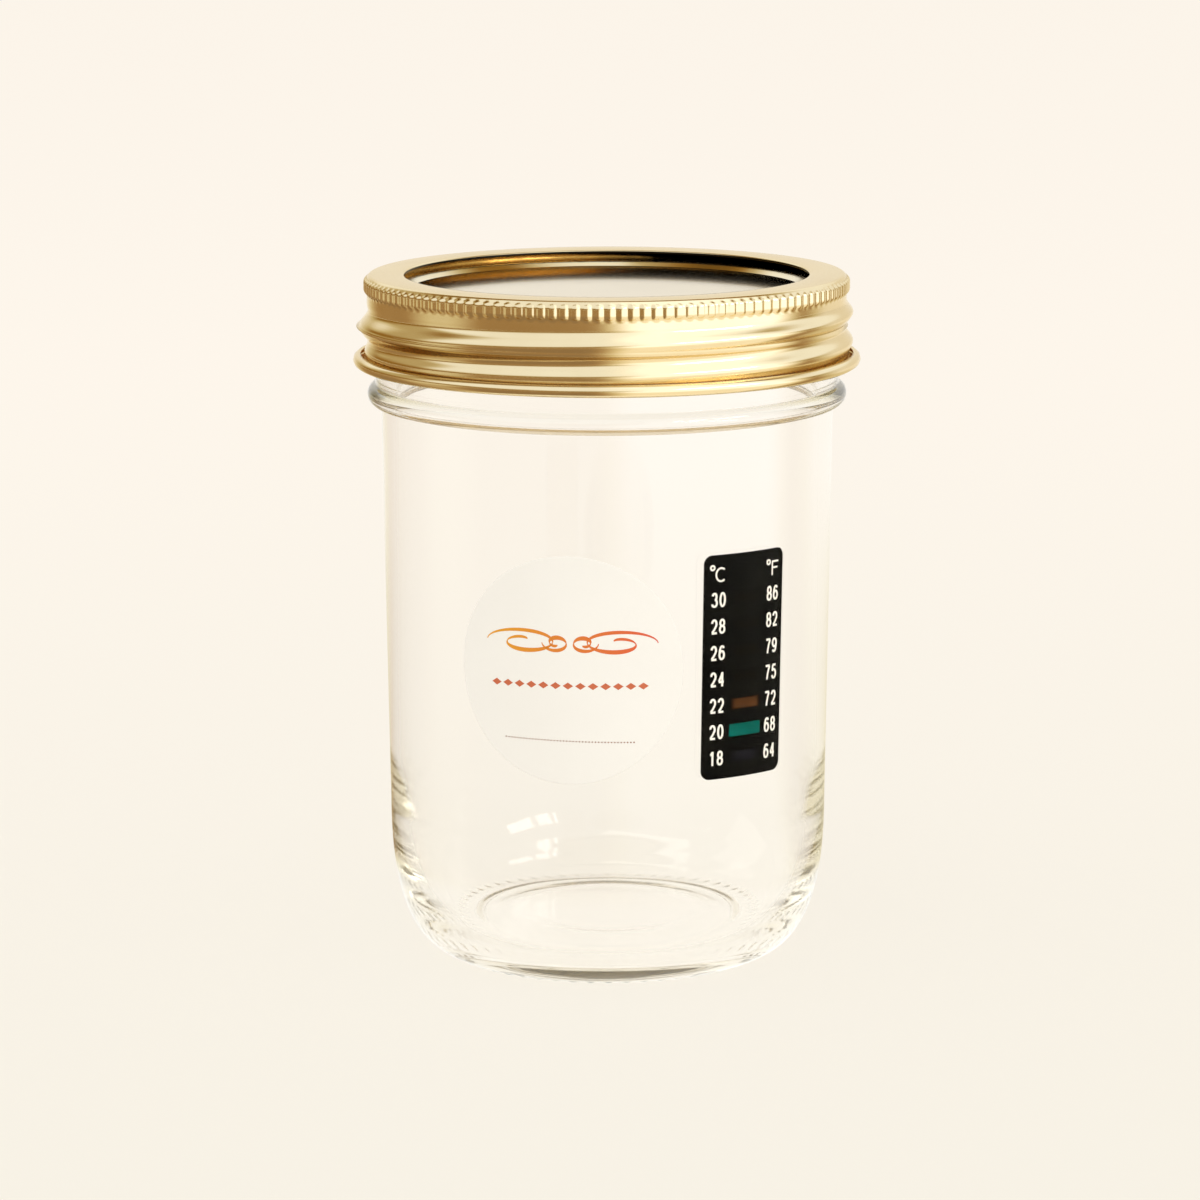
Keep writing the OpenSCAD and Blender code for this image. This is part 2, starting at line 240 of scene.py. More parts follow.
not_through_glass = put("SUBTRACT", 1, path["Is Transmission Ray"])
room = graph.mixed(put("MULTIPLY", path["Is Glossy Ray"], not_through_glass), lit, mirror_glow)
graph.add("ShaderNodeOutputWorld", surface=room.outputs[0])


# The lamps: one window of three panes at the front right, whose glints the glass shows, with a
# soft light overhead and a weak one from the left that only fill the shadows.
def softbox(name, place, width, height, watts):
    """A soft rectangular lamp at a place, turned to the jar."""
    lamp = bpy.data.lights.new(name, "AREA")
    lamp.shape = "RECTANGLE"
    lamp.size = width
    lamp.size_y = height
    lamp.energy = watts
    lamp.color = (1, 0.985, 0.96)
    box = placed(name, lamp)
    look = (Vector((0, 0, 0.07)) - Vector(place)).to_track_quat("-Z", "Y")
    box.matrix_world = Matrix.Translation(place) @ look.to_matrix().to_4x4()
    box.visible_camera = False
    return box


window_r, window_z, pane_h, watts_a_metre = 1.19, 0.6, 0.24, 3.4
for pane, (side, width) in enumerate(((63, 0.41), (44.5, 0.2), (35, 0.08))):
    turn = math.radians(side)
    softbox(f"window pane {pane + 1}",
            (window_r * math.sin(turn), -window_r * math.cos(turn), window_z),
            width, pane_h, watts_a_metre * width)
softbox("overhead", (-0.25, -0.35, 1.25), 1.2, 1.0, 6).visible_glossy = False
softbox("side fill", (-1.1, 0.35, 0.5), 0.7, 0.9, 1.2).visible_glossy = False


# The jar itself: pressed soda-lime glass with a rounded heel, a pushed-up floor, a transfer bead
# and one screw thread round its neck. It stands on a ring of small raised bars.
def arc(r, z, radius, start, end, count):
    """Points of an arc about (r, z), in degrees."""
    turns = [math.radians(start + (end - start) * i / count) for i in range(count + 1)]
    return [(r + radius * math.cos(turn), z + radius * math.sin(turn)) for turn in turns]


def rows(start, end, step):
    """Points of a straight stretch at about the given spacing, without its end."""
    count = max(1, round(math.dist(start, end) / step))
    return [
        (start[0] + (end[0] - start[0]) * i / count, start[1] + (end[1] - start[1]) * i / count)
        for i in range(count)
    ]


def piece_from(name, built):
    """A new object in the scene from a built mesh, which is used up."""
    mesh = bpy.data.meshes.new(name)
    built.to_mesh(mesh)
    built.free()
    return placed(name, mesh)


def revolved(name, profile, steps, ring=False):
    """A smooth piece from a profile of radii and heights in millimetres, turned about the axis.
    A ring's profile closes on itself, and any other starts and ends on the axis."""
    turned = bmesh.new()
    loops = []
    for r, z in profile:
        if r < 1e-6:
            loops.append([turned.verts.new((0, 0, z / 1000))])
        else:
            loops.append([
                turned.verts.new((r * math.cos(math.tau * i / steps) / 1000,
                                  r * math.sin(math.tau * i / steps) / 1000, z / 1000))
                for i in range(steps)
            ])
    pairs = list(zip(loops, loops[1:]))
    if ring:
        pairs.append((loops[-1], loops[0]))
    for low, high in pairs:
        for i in range(steps):
            j = (i + 1) % steps
            if len(low) == 1:
                corners = [low[0], high[j], high[i]]
            elif len(high) == 1:
                corners = [low[i], low[j], high[0]]
            else:
                corners = [low[i], low[j], high[j], high[i]]
            turned.faces.new(corners)
    if turned.calc_volume(signed=True) < 0:
        bmesh.ops.reverse_faces(turned, faces=turned.faces)
    piece = piece_from(name, turned)
    piece.data.shade_smooth()
    return piece


body_r, heel_r, heel_w, heel_h, shoulder_z = 40.95, 39.9, 12.7, 29, 102.4
neck_r, neck_z, rim_r, jar_h = 41.9, 105.3, 0.7, 123.2
bead_middle_r, bead_r, bead_z = 41.46, 1.9, 102.9
panel_edge_r, panel_edge_z, foot_in, foot_out = 22.8, 0.9, 26.0, 27.2
mouth_r, inside_r, floor_t = 38.2, 38.15, 3.6
inner_heel_r, inner_heel_w, inner_heel_z = 37.1, 11, 4.5


def wall_r(z):
    """Outside radius of the glass wall at a height, in millimetres."""
    return heel_r + (body_r - heel_r) * (z - heel_h) / (shoulder_z - heel_h)


def heel(r, width, height, z, fullness, count):
    """Points up a rounded heel, from its foot to the wall."""
    turns = [math.pi / 2 * i / count for i in range(count)]
    return [
        (r - width + width * math.sin(turn) ** (2 / fullness),
         z + height - height * math.cos(turn) ** (2 / fullness))
        for turn in turns
    ]


def outside(z):
    """Outside radius from the wall over the shoulder and the bead to the neck, softly blended."""
    step, blend_width = min(z - shoulder_z, 1), 0.5
    plain = wall_r(z) if z < shoulder_z else body_r + (neck_r - body_r) * step
    in_bead = abs(z - bead_z) < bead_r
    bead = bead_middle_r + math.sqrt(bead_r ** 2 - (z - bead_z) ** 2) if in_bead else 0
    blend = max(0, blend_width - abs(plain - bead)) / blend_width
    return max(plain, bead) + blend ** 3 * blend_width / 6


def underside(r):
    """Height of the pushed-up middle of the underside, over a step near its edge."""
    near = min(1, max(0, (panel_edge_r - r) / 7))
    return panel_edge_z + (1.3 - 0.77 * (r / 22) ** 2) * near * near * (3 - 2 * near)


dome_radii = (0, 4, 8, 11, 13, 15, 16, 17, 18, 19, 20, 21, 22, panel_edge_r)
dome = [(r, underside(r)) for r in dome_radii]
slope_start, slope_rows = 23.3, 12
slope = [
    (slope_start + (foot_in - slope_start) * i / slope_rows,
     panel_edge_z * (1 + math.cos(math.pi * i / slope_rows)) / 2)
    for i in range(slope_rows)
]
wall_rows = (heel_h, 32, 38, 46, 56, 66, 76, 86, 94)
shoulder_rows = [100 + i * 0.16 for i in range(33)]
outer = (
    dome + slope + rows((foot_in, 0), (foot_out, 0), 0.3)
    + heel(heel_r, heel_w, heel_h, 0, 2.5, 44)
    + [(wall_r(z), z) for z in wall_rows] + [(outside(z), z) for z in shoulder_rows]
    + rows((neck_r, neck_z), (neck_r, 120.7), 0.4) + arc(41.1, jar_h - rim_r, rim_r, 0, 90, 6)
)
inner = (
    rows((40.7, jar_h), (39.2, jar_h), 0.5) + arc(38.9, jar_h - rim_r, rim_r, 90, 180, 6)
    + [(mouth_r, z) for z in range(120, 102, -3)] + [(inside_r, z) for z in range(98, 29, -5)]
    + heel(inner_heel_r, inner_heel_w, heel_h - inner_heel_z, inner_heel_z, 2.2, 30)[::-1]
    + [(r, z + floor_t) for r, z in dome[::-1]]
)
glass = revolved("jar_glass", outer + inner, 420)


def noise(graph, scale, detail=2):
    """A noise pattern fixed to the piece."""
    place = graph.add("ShaderNodeTexCoord").outputs["Object"]
    return graph.add("ShaderNodeTexNoise", vector=place, scale=scale, detail=detail).outputs["Fac"]


def bumped(graph, height, strength, distance):
    """The normal of a surface that a pattern raises, by up to a distance in metres."""
    bump = graph.add("ShaderNodeBump", strength=strength, distance=distance, height=height)
    return bump.outputs["Normal"]


def clear_to_lamps(graph, shell, tint):
    """A clear shader that lets the lamps' light straight through, tinted."""
    clear = graph.add("ShaderNodeBsdfTransparent", color=tint)
    return graph.mixed(graph.add("ShaderNodeLightPath").outputs["Is Shadow Ray"], shell, clear)


glass_material, graph = new_material("clear soda-lime glass")
shell = graph.add(
    "ShaderNodeBsdfPrincipled", base_color=(1, 1, 1), roughness=0.035, ior=1.517,
    transmission_weight=1, normal=bumped(graph, noise(graph, 90, 1), 0.2, 0.0001),
)
inside = graph.add("ShaderNodeVolumeAbsorption", color=(0.7, 0.63, 0.2), density=3.5)
out = graph.surface(clear_to_lamps(graph, shell, (0.95, 0.955, 0.94)))
graph.link(inside.outputs[0], out.inputs["Volume"])


def sized_tree(name, sizes, ends=("INPUT", "OUTPUT")):
    """A Geometry Nodes tree with named sizes, its graph, and each size's identifier and value."""
    tree = bpy.data.node_groups.new(name, "GeometryNodeTree")
    for end in ends:
        tree.interface.new_socket(
            name="Geometry", in_out=end, socket_type="NodeSocketGeometry")
    kinds = {int: "Int", float: "Float", bpy.types.Material: "Material"}
    found = []
    for size, value in sizes.items():
        kind = "NodeSocket" + kinds[type(value)]
        socket = tree.interface.new_socket(name=size, in_out="INPUT", socket_type=kind)
        if kind != "NodeSocketMaterial":
            socket.default_value = value
        found.append((socket.identifier, value))
    return tree, Graph(tree), found


def end_tree(graph, shape, material):
    """Ends a tree: its instances are made real, and its faces get the material."""
    real = graph.add("GeometryNodeRealizeInstances", geometry=shape.outputs[0])
    painted = graph.add("GeometryNodeSetMaterial", geometry=real.outputs[0], material=material)
    graph.link(painted.outputs[0], graph.nodes.new("NodeGroupOutput").inputs[0])


def finished(piece, tree, sizes):
    """The piece's mesh after its tree has run, as a plain mesh with no modifier."""
    modifier = piece.modifiers.new(tree.name, "NODES")
    modifier.node_group = tree
    for identifier, value in sizes:
        modifier[identifier] = value
    shaped = piece.evaluated_get(bpy.context.evaluated_depsgraph_get())
    mesh = bpy.data.meshes.new_from_object(shaped)
    piece.modifiers.clear()
    piece.data = mesh
    mesh.name = piece.name


def round_place(graph):
    """A vertex's X, Y and Z in millimetres, its radius, and its angle from +X."""
    put = graph.put
    place = graph.add("GeometryNodeInputPosition").outputs[0]
    metres = graph.add("ShaderNodeSeparateXYZ", vector=place).outputs
    x, y, z = (put("MULTIPLY", size, 1000) for size in metres)
    r = put("SQRT", put("ADD", put("MULTIPLY", x, x), put("MULTIPLY", y, y)))
    return x, y, z, r, put("ARCTAN2", y, x)


def moved(graph, geometry, x, y, z, share):
    """The geometry with each vertex at a new height and its radius at a share of the old."""
    put = graph.put
    place = graph.add(
        "ShaderNodeCombineXYZ", x=put("DIVIDE", put("MULTIPLY", x, share), 1000),
        y=put("DIVIDE", put("MULTIPLY", y, share), 1000), z=put("DIVIDE", z, 1000),
    )
    return graph.add("GeometryNodeSetPosition", geometry=geometry, position=place.outputs[0])


def eased(put, value):
    """A value held from 0 to 1 and eased at both ends."""
    held = put("MINIMUM", put("MAXIMUM", value, 0), 1)
    slowing = put("SUBTRACT", 3, put("MULTIPLY", held, 2))
    return put("MULTIPLY", put("MULTIPLY", held, held), slowing)


tree, graph, sizes = sized_tree("thread, foot bars and drawn wall", {
    "Neck radius": neck_r,
    "Thread radius": 43.15,
    "Thread rise": 6.35,
    "Thread half height": 1.7,
    "Thread top": 118.4,
    "Thread top angle": 82.2,
    "Thread turns": 1.35,
    "Run-out": 40.0,
    "Foot bars": 60,
    "Foot bar height": 0.18,
    "Wall waviness": 0.03,
    "Material": glass_material,
})
put = graph.put
given = graph.nodes.new("NodeGroupInput").outputs
x, y, z, r, turn = round_place(graph)
angle = put("DEGREES", turn)

low_angle = put("SUBTRACT", given["Thread top angle"], put("MULTIPLY", given["Thread turns"], 360))
ridge_foot = put("SUBTRACT", given["Neck radius"], 0.3)
ridge_height = put("SUBTRACT", given["Thread radius"], ridge_foot)
ridged = r
for round_again in (0, -360):
    along = put("ADD", angle, round_again)
    from_top = put("SUBTRACT", along, given["Thread top angle"])
    crest = put("ADD", given["Thread top"],
                put("MULTIPLY", given["Thread rise"], put("DIVIDE", from_top, 360)))
    run_in = eased(put, put("DIVIDE", put("SUBTRACT", along, low_angle), given["Run-out"]))
    to_top = put("SUBTRACT", given["Thread top angle"], along)
    swell = put("MULTIPLY", run_in, eased(put, put("DIVIDE", to_top, given["Run-out"])))
    off_crest = put("DIVIDE", put("SUBTRACT", z, crest), given["Thread half height"])
    off_crest = put("ABSOLUTE", off_crest)
    hump = put("COSINE", put("MULTIPLY", put("MINIMUM", off_crest, 1), math.pi / 2))
    ridge = put("ADD", ridge_foot, put("MULTIPLY", put("MULTIPLY", swell, hump), ridge_height))
    ridged = put("SMOOTH_MAX", ridged, ridge, 0.35)
outside_neck = put("GREATER_THAN", r, put("SUBTRACT", given["Neck radius"], 0.6))
on_neck = put("MULTIPLY", outside_neck, put("GREATER_THAN", z, neck_z - 0.1))

ripple_place = graph.add("ShaderNodeCombineXYZ", x=put("MULTIPLY", x, 0.055),
                         y=put("MULTIPLY", y, 0.055), z=put("MULTIPLY", z, 0.03)).outputs[0]
ripple = graph.add("ShaderNodeTexNoise", vector=ripple_place, scale=1, detail=1.5).outputs["Fac"]
wave = put("MULTIPLY", put("MULTIPLY", put("SUBTRACT", ripple, 0.5), 2), given["Wall waviness"])
is_inside = put("LESS_THAN", r, mouth_r + 0.1)
wavy_from, wavy_to = 34, 112
over_heel = eased(put, put("DIVIDE", put("SUBTRACT", z, wavy_from), 20))
under_rim = eased(put, put("DIVIDE", put("SUBTRACT", wavy_to, z), 10))
wave = put("MULTIPLY", put("MULTIPLY", put("MULTIPLY", is_inside, over_heel), under_rim), wave)
new_r = put("ADD", put("ADD", r, put("MULTIPLY", on_neck, put("SUBTRACT", ridged, r))), wave)

bars_out, bars_top = 31.6, 0.6
bar = put("COSINE", put("MULTIPLY", turn, given["Foot bars"]))
bar = eased(put, put("ADD", put("MULTIPLY", bar, 1.2), -0.1))
bar = put("MULTIPLY", bar, eased(put, put("DIVIDE", put("SUBTRACT", r, foot_out), 0.7)))
bar = put("MULTIPLY", bar, eased(put, put("DIVIDE", put("SUBTRACT", bars_out, r), 0.9)))
bar = put("MULTIPLY", bar, put("LESS_THAN", z, bars_top))
new_z = put("SUBTRACT", z, put("MINIMUM", z, put("MULTIPLY", bar, given["Foot bar height"])))
share = put("DIVIDE", new_r, put("MAXIMUM", r, 0.001))
end_tree(graph, moved(graph, given["Geometry"], x, y, new_z, share), given["Material"])
finished(glass, tree, sizes)
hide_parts("jar")
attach(glass, "glass")
# Light runs a long way on inside the thick heel before it comes out, so it is followed that far,
# and it passes the glass unblurred, so that what is behind and under the lid is lit.
bpy.context.scene.cycles.max_bounces = 64
bpy.context.scene.cycles.glossy_bounces = 64
bpy.context.scene.cycles.transmission_bounces = 64
bpy.context.scene.cycles.blur_glossy = 0

# The screw band: thin tinplate with a satin gold lacquer, rolled into a knurl under its flat top,
# a thread that matches the glass, and an outward curl at its foot.
tin = 0.28
band_top, knurl_top, knurl_foot = 124.5, 123.96, 121.05
thread_top, thread_join, thread_foot = 119.95, 115.1, 110.25
plain_r, foot_r, opening_r = 43.3, 43.83, 36.5
lip_drop, lip_bend, corner_bend, curl_bend, curl_r, curl_z = 0.62, 0.25, 0.7, 1.1, 44.79, 109.1


def beside(points, distance):
    """The points moved sideways, to the left of the way along them."""
    found = []
    for i, (r, z) in enumerate(points):
        before, after = points[max(i - 1, 0)], points[min(i + 1, len(points) - 1)]
        dr, dz = after[0] - before[0], after[1] - before[1]
        size = math.hypot(dr, dz)
        found.append((r - dz / size * distance, z + dr / size * distance))
    return found


def band_line(step, lip_steps, corner_steps, curl_steps):
    """Middle of the band's sheet, from the lip of the opening to the end of the curl."""
    half = tin / 2
    top_z, lip_r = band_top - half, opening_r + half
    upper_r, lower_r = plain_r - half, foot_r - half
    line = [(lip_r, band_top - lip_drop)]
    line += arc(lip_r + lip_bend, top_z - 0.33, lip_bend, 180, 95, lip_steps)
    line += [(r, top_z - 0.08 * ((r - 39.8) / 3) ** 2) for r in (37.4, 38.2, 39, 39.8, 40.6, 41.4)]
    line += [(42.0, top_z - 0.045)]
    line += arc(upper_r - corner_bend, top_z - 0.75, corner_bend, 88, 0, corner_steps)
    line += rows((upper_r, top_z - 0.9), (upper_r, knurl_foot - 0.1), step * 0.7)
    line += rows((upper_r, knurl_foot - 0.1), (upper_r, thread_top), step * 1.6)
    line += rows((upper_r, thread_top), (upper_r, thread_join), step)
    line += rows((lower_r, thread_join), (lower_r, thread_foot), step)
    line += [(lower_r, thread_foot), (lower_r, thread_foot - 0.6)]
    line += arc(curl_r, curl_z, curl_bend - half, 180, 465, curl_steps)
    return line


outer_line = beside(band_line(0.38, 4, 8, 12), tin / 2)
inner_line = beside(band_line(0.8, 2, 3, 8), -tin / 2)
band = revolved("gold_screw_band", outer_line + inner_line[::-1], 822, ring=True)


def back_right(put, turn):
    """1 at the back right of the closure, and down to 0 over the rest of it."""
    away = put("COSINE", put("SUBTRACT", turn, math.radians(35)))
    return put("POWER", put("MAXIMUM", away, 0), 4)


gold, graph = new_material("satin gold lacquer on tinplate")
put = graph.put
place = graph.add("ShaderNodeTexCoord").outputs["Object"]
x, y, z = graph.add("ShaderNodeSeparateXYZ", vector=place).outputs
turn = put("ARCTAN2", y, x)
reach = put("SQRT", put("ADD", put("MULTIPLY", x, x), put("MULTIPLY", y, y)))
round_band = graph.add("ShaderNodeCombineXYZ", x=put("MULTIPLY", turn, 2),
                       y=put("MULTIPLY", reach, 1800), z=put("MULTIPLY", z, 1800)).outputs[0]
drawn = graph.add("ShaderNodeTexNoise", vector=round_band, scale=1, detail=3).outputs["Fac"]
# Painted shade: the inner face of the lip round the opening, and the underside of the flat top at
# the back right, are painted near-black, standing in for the shade in the gap under the lip.
lip_in, lip_out, corner_in, lip_foot, lip_top = 0.0364, 0.03664, 0.0425, 0.1236, 0.12424
lip_face = put("MULTIPLY", put("GREATER_THAN", reach, lip_in), put("LESS_THAN", reach, lip_out))
under_top = put("MULTIPLY", put("GREATER_THAN", reach, lip_out), put("LESS_THAN", reach, corner_in))
unlit = put("ADD", lip_face, put("MULTIPLY", under_top, back_right(put, turn)))
unlit = put("MULTIPLY", unlit, put("LESS_THAN", z, lip_top))
unlit = put("MULTIPLY", unlit, put("GREATER_THAN", z, lip_foot))
cloud = put("MAXIMUM", noise(graph, 70, 3), 0.3)
lacquer = graph.ramp(put("SUBTRACT", cloud, put("MULTIPLY", unlit, 2)), (0.0, (0.015, 0.01, 0.005)),
                     (0.3, (0.765, 0.62, 0.37)), (0.7, (0.82, 0.685, 0.435)))
graph.surface(graph.add(
    "ShaderNodeBsdfPrincipled", metallic=1, base_color=lacquer, specular_tint=(0.985, 0.92, 0.77),
    coat_weight=0.06, coat_roughness=0.12, roughness=put("ADD", 0.09, put("MULTIPLY", drawn, 0.12)),
    normal=bumped(graph, drawn, 0.12, 0.00004),
))

tree, graph, sizes = sized_tree("knurl and rolled thread", {
    "Ribs": 137,
    "Rib depth": 0.6,
    "Knurl foot": knurl_foot,
    "Knurl top": knurl_top,
    "Thread top": thread_top,
    "Thread foot": thread_foot,
    "Crest at the right": 118.25,
    "Thread rise": 6.35,
    "Roll depth": 1.69,
    "Groove radius": 43.05,
    "Fade": 2.8,
    "Material": gold,
})
put = graph.put
given = graph.nodes.new("NodeGroupInput").outputs
x, y, z, r, turn = round_place(graph)
crest = put("ADD", given["Crest at the right"],
            put("MULTIPLY", given["Thread rise"], put("DIVIDE", put("DEGREES", turn), 360)))
turns_off_crest = put("DIVIDE", put("SUBTRACT", z, crest), given["Thread rise"])
roll = put("ADD", 1, put("COSINE", put("MULTIPLY", math.tau, turns_off_crest)))
roll = put("MULTIPLY", roll, put("MULTIPLY", given["Roll depth"], 0.5))
wall = put("ADD", plain_r, put("MULTIPLY", put("LESS_THAN", z, thread_join), foot_r - plain_r))
under_knurl = eased(put, put("DIVIDE", put("SUBTRACT", given["Thread top"], z), given["Fade"]))
over_foot = eased(put, put("DIVIDE", put("SUBTRACT", z, given["Thread foot"]), given["Fade"]))
rolled = put("SUBTRACT", put("ADD", given["Groove radius"], roll), wall)
rolled = put("MULTIPLY", put("MULTIPLY", under_knurl, over_foot), rolled)

rib_number = put("DIVIDE", put("MULTIPLY", turn, given["Ribs"]), math.tau)
off_rib = put("ABSOLUTE", put("SUBTRACT", rib_number, put("ROUND", rib_number)))
off_rib = put("MULTIPLY", off_rib, 2.08)
middle = put("MULTIPLY", put("ADD", given["Knurl top"], given["Knurl foot"]), 0.5)
half_height = put("MULTIPLY", put("SUBTRACT", given["Knurl top"], given["Knurl foot"]), 0.5)
off_middle = put("ABSOLUTE", put("SUBTRACT", z, middle))
past_end = put("SUBTRACT", off_middle, put("SUBTRACT", half_height, 0.8))
past_end = put("DIVIDE", put("MAXIMUM", past_end, 0), 0.85)
past_end = put("MULTIPLY", past_end, past_end)
rib = put("ADD", put("MULTIPLY", off_rib, off_rib), past_end)
rib = put("POWER", put("MAXIMUM", put("SUBTRACT", 1, rib), 0), 0.85)
low_ring = put("SUBTRACT", 1, put("MULTIPLY", past_end, 1.7))
low_ring = put("POWER", put("MAXIMUM", low_ring, 0), 0.8)
pressed = put("ADD", put("MULTIPLY", low_ring, 0.36), put("MULTIPLY", rib, 0.64))
pressed = put("MULTIPLY", pressed, put("SUBTRACT", given["Rib depth"], 0.02))
pressed = put("MULTIPLY", pressed, put("GREATER_THAN", r, 42.85))
out = put("MULTIPLY", put("GREATER_THAN", r, 42.4), put("ADD", rolled, pressed))
share = put("DIVIDE", put("ADD", r, out), r)
end_tree(graph, moved(graph, given["Geometry"], x, y, z, share), given["Material"])
finished(band, tree, sizes)
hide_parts("screw_band")
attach(band, "band")

# The lid disc: the same gold tinplate, pressed with a sunk panel inside the land that seals, and
# lacquered white underneath. It lies loose in the band, on the rim of the glass.
lid_half, lid_z, lid_bend = 0.125, 123.975, 0.5
panel_r, panel_drop, panel_slope, panel_crown = 35.4, 2.6, 3.2, 0.3
panel_z = lid_z - panel_drop
tilt = math.degrees(math.atan(panel_drop / panel_slope))
panel_radii = (34.9, 34, 32, 29, 26, 22, 18, 14, 10, 6, 3, 1)
lid_line = (
    [(42.245, 123.15)] + arc(41.745, lid_z - lid_bend, lid_bend, 0, 90, 6)
    + rows((41.2, lid_z), (38.9, lid_z), 0.6)
    + arc(38.6, lid_z - lid_bend, lid_bend, 90, 90 + tilt, 5)
    + arc(panel_r, panel_z + lid_bend, lid_bend, 270 + tilt, 270, 5)
    + [(r, panel_z + panel_crown * (1 - (r / panel_r) ** 2)) for r in panel_radii]
)
above, below = beside(lid_line, -lid_half), beside(lid_line, lid_half)
middle_z = panel_z + panel_crown
lid = revolved(
    "gold_lid_disc",
    [(0, middle_z + lid_half)] + above[::-1] + below + [(0, middle_z - lid_half)], 256,
)


def speckled(name, dark, pale, scale, roughness):
    """A plain paint, ink or rubber whose tone varies a little, in fine specks."""
    material, graph = new_material(name)
    tone = graph.ramp(noise(graph, scale), (0, dark), (1, pale))
    graph.surface(graph.add("ShaderNodeBsdfPrincipled", base_color=tone, roughness=roughness))
    return material


bright_gold, graph = new_material("bright gold lacquer on tinplate")
put = graph.put
place = graph.add("ShaderNodeTexCoord").outputs["Object"]
x, y, z = graph.add("ShaderNodeSeparateXYZ", vector=place).outputs
# Painted shade: the land and the top of the slope, which lie under the band's lip, are painted
# near-black, and lower down the slope at the back right, standing in for the shade in the gap
# there.
deeper = put("MULTIPLY", back_right(put, put("ARCTAN2", y, x)), 0.0011)
in_shade = graph.rising(put("ADD", z, deeper), 0.1236, 0.124, 2)
cloud = put("MAXIMUM", noise(graph, 60), 0.3)
lacquer = graph.ramp(put("SUBTRACT", cloud, in_shade), (0.0, (0.02, 0.014, 0.006)),
                     (0.3, (0.75, 0.61, 0.35)), (0.7, (0.82, 0.68, 0.42)))
grain = noise(graph, 2200, 3)
graph.surface(graph.add(
    "ShaderNodeBsdfPrincipled", metallic=1, base_color=lacquer, coat_weight=0.4,
    coat_roughness=0.06, roughness=put("ADD", 0.07, put("MULTIPLY", grain, 0.08)),
    normal=bumped(graph, grain, 0.25, 0.00002),
))
lid.data.materials.append(bright_gold)
lid.data.materials.append(speckled(
    "white lacquer under the lid", (0.80, 0.70, 0.54), (0.88, 0.78, 0.62), 400, 0.35))
for face in lid.data.polygons:
    if face.normal.z < -0.3:
        face.material_index = 1
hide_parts("lid_disc")
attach(lid, "lid")

# The sealing ring: grey rubbery compound, flowed into the lid disc's rim and set there. The land
# of the glass presses on its flat underside.
seal_line = [(39.02, 123.22), (39.3, 123.2), (41.2, 123.2), (41.45, 123.24), (41.5, 123.4),
             (41.5, 123.85), (39.0, 123.85), (39.0, 123.4)]
seal = revolved("sealing_compound_ring", seal_line, 256, ring=True)
seal.data.materials.append(speckled(
    "grey sealing compound", (0.42, 0.41, 0.39), (0.52, 0.51, 0.48), 900, 0.6))
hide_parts("sealing_ring")
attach(seal, "lid")


# The label: a round sticker of uncoated off-white paper, cut to 40.7 mm and stuck on the front of
# the glass, a little to the left.
def wrapped(mesh, turn, height, lean=0):
    """Lays a flat mesh (millimetres right, up and out) on the glass wall, about a point on it."""
    slant = math.radians(lean)
    for vertex in mesh.vertices:
        u, v, out = vertex.co
        u, v = (u * math.cos(slant) + v * math.sin(slant),
                v * math.cos(slant) - u * math.sin(slant))
        angle = math.radians(turn) + u / wall_r(height)
        radius = wall_r(height + v) + out
        vertex.co = (radius * math.sin(angle) / 1000, -radius * math.cos(angle) / 1000,
                     (height + v) / 1000)


def sheet(name, outline, out, thickness, rings, soft=0.0):
    """A flat closed sheet with the given outline, in rings from its edge to its middle."""
    flat = bmesh.new()
    sides = []
    spaced = [i / rings * 0.985 for i in range(1, rings + 1)] + [0.997, 1]
    for level, shares in ((out + thickness, spaced), (out, [0.33, 0.66, 0.997, 1])):
        middle = flat.verts.new((0, 0, level))
        loops = []
        for share in shares:
            drop = soft if share == 1 and level > out else 0
            loops.append([flat.verts.new((u * share, v * share, level - drop)) for u, v in outline])
        sides.append((middle, loops))
    count = len(outline)
    for side, (middle, loops) in enumerate(sides):
        for i in range(count):
            j = (i + 1) % count
            faces = [[middle, loops[0][i], loops[0][j]]]
            faces += [[low[i], high[i], high[j], low[j]] for low, high in zip(loops, loops[1:])]
            for corners in faces:
                flat.faces.new(corners if side == 0 else corners[::-1])
    top, bottom = sides[0][1][-1], sides[1][1][-1]
    for i in range(count):
        j = (i + 1) % count
        flat.faces.new([bottom[i], bottom[j], top[j], top[i]])
    return piece_from(name, flat)


label_turn, label_z, label_r = -9.8, 59.3, 20.35
paper_lift, paper_t = 0.09, 0.12
round_edge = [math.tau * i / 180 for i in range(180)]
paper = sheet("paper_label", [(label_r * math.cos(a), label_r * math.sin(a)) for a in round_edge],
              paper_lift, paper_t, 24, 0.02)
wrapped(paper.data, label_turn, label_z)
paper.data.shade_smooth()
stock, graph = new_material("uncoated off-white paper")
put = graph.put
fibre = noise(graph, 2600, 4)
tone = put("ADD", put("MULTIPLY", noise(graph, 60), 0.7), put("MULTIPLY", fibre, 0.3))
tone = graph.ramp(tone, (0.25, (0.915, 0.885, 0.825)), (0.75, (0.94, 0.912, 0.855)))
graph.surface(graph.add("ShaderNodeBsdfPrincipled", base_color=tone, roughness=0.75,
                        normal=bumped(graph, fibre, 0.25, 0.00003)))
paper.data.materials.append(stock)
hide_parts("label_face")
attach(paper, "glass")

# The adhesive under the label and under the strip: a thin clear coat from a roll, a little smaller
# than what it holds. Both keep their CAD shape.
glue = speckled("clear adhesive", (0.80, 0.76, 0.68), (0.90, 0.86, 0.78), 700, 0.45)
for name in ("label_adhesive", "strip_adhesive"):
    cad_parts[name].data.materials.clear()
    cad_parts[name].data.materials.append(glue)


